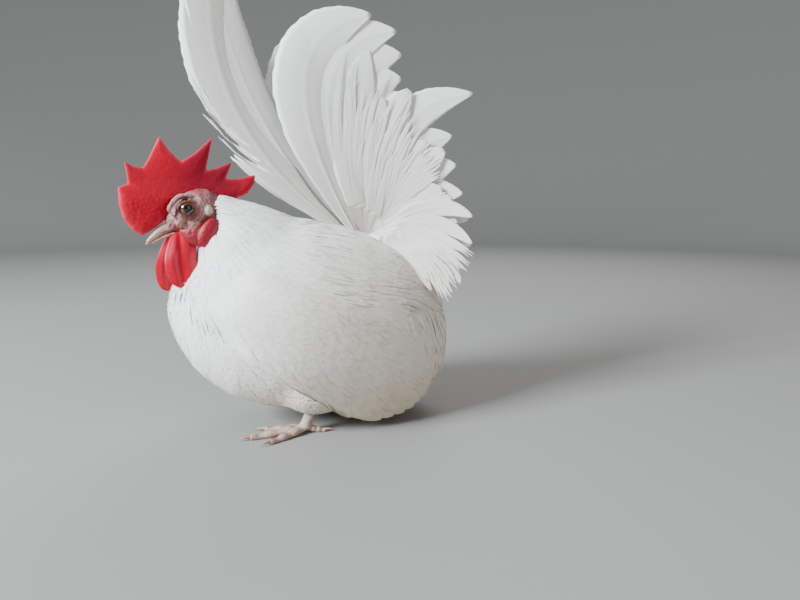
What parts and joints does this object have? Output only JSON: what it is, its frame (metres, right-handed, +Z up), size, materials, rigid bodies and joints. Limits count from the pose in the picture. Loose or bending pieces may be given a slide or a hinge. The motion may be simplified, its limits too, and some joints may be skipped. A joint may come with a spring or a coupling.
{
  "type": "japanese bantam cock",
  "caption": "Life-size still model of a standing white Japanese bantam cock: low body, short legs, large red single comb and a tall upright squirrel tail with sickle feathers.",
  "frame": {"origin": "middle of the underside of the bird's box, on the ground it stands on", "axes": "the bird faces -Y, its left side is +X, up is +Z"},
  "size_m": [0.1174, 0.2022, 0.2923],
  "materials": {
    "plumage": "soft matt white feathers with warm grey shade between them",
    "comb_skin": "bright red fleshy skin, finely pimpled, soft sheen",
    "face_skin": "bare dull pink skin, finely wrinkled",
    "horn": "pale pinkish horn, lightly polished",
    "leg_scales": "pale pinkish cream scaled skin, dusty",
    "eye": "wet glossy orange brown eye with a black pupil"
  },
  "bodies": {
    "root": {"torso": "plumage", "neck": "plumage", "head": "face_skin", "beak_upper": "horn", "beak_lower": "horn", "comb": "comb_skin", "eye_left": "eye", "eye_right": "eye", "earlobe_left": "comb_skin", "earlobe_right": "comb_skin", "wattle_left": "comb_skin", "wattle_right": "comb_skin", "tail_left": "plumage", "tail_right": "plumage", "sickles_left": "plumage", "sickles_right": "plumage", "wing_left": "plumage", "wing_right": "plumage", "thigh_left": "plumage", "thigh_right": "plumage", "foot_left": "leg_scales", "foot_right": "leg_scales", "claw_left_inner": "horn", "claw_left_middle": "horn", "claw_left_outer": "horn", "claw_left_back": "horn", "claw_right_inner": "horn", "claw_right_middle": "horn", "claw_right_outer": "horn", "claw_right_back": "horn"}
  },
  "joints": []
}
